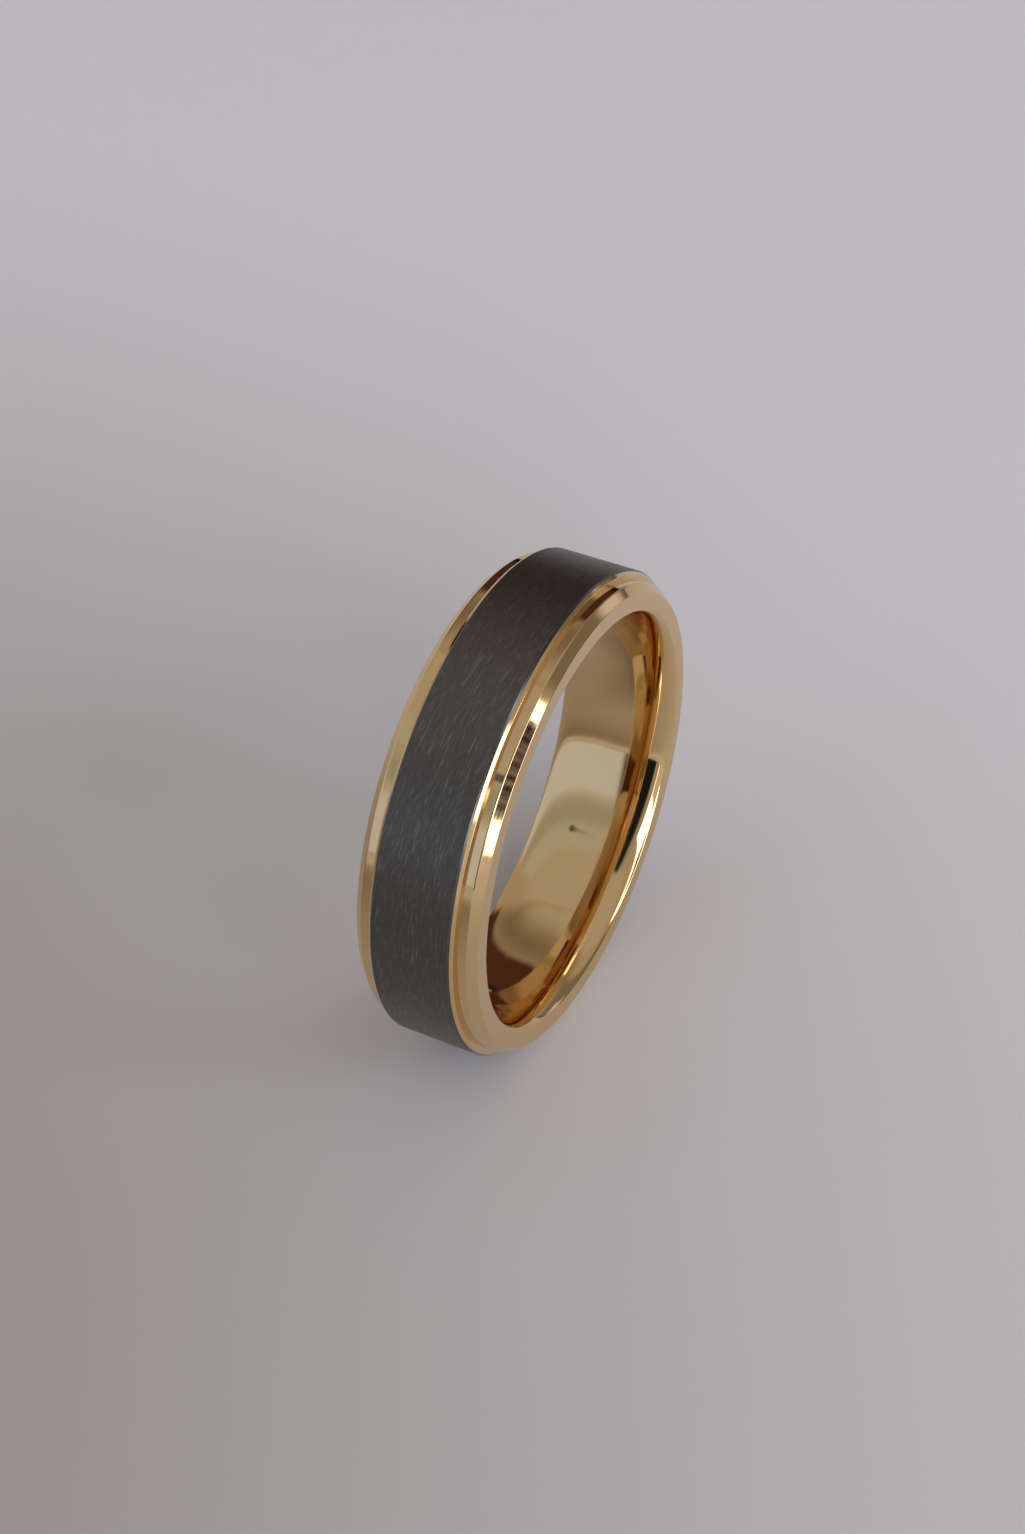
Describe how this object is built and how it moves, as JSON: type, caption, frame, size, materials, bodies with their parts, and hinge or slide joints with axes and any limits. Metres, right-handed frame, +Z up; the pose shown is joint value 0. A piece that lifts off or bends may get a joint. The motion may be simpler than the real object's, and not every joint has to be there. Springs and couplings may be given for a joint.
{
  "type": "wedding band",
  "caption": "Two-metal finger ring: satin tantalum band on a comfort-fit gold liner, held between bevelled gold shoulders with polished stepped edges.",
  "frame": {"origin": "centre of the finger hole, halfway across the ring's width", "axes": "ring stands upright: +Y along the finger hole's axis to the loose-shoulder side, -Y is the front with the liner's own shoulder, +Z up"},
  "size_m": [0.0236, 0.006, 0.0236],
  "materials": {
    "yellow_gold": "mirror-polished 14 carat yellow gold",
    "satin_tantalum": "satin-brushed dark grey tantalum with polished edge breaks",
    "gold_solder": "polished gold solder, flush with the side face"
  },
  "bodies": {
    "root": {"gold_liner": "yellow_gold", "tantalum_band": "satin_tantalum", "gold_shoulder_ring": "yellow_gold", "solder_seam": "gold_solder"}
  },
  "joints": []
}
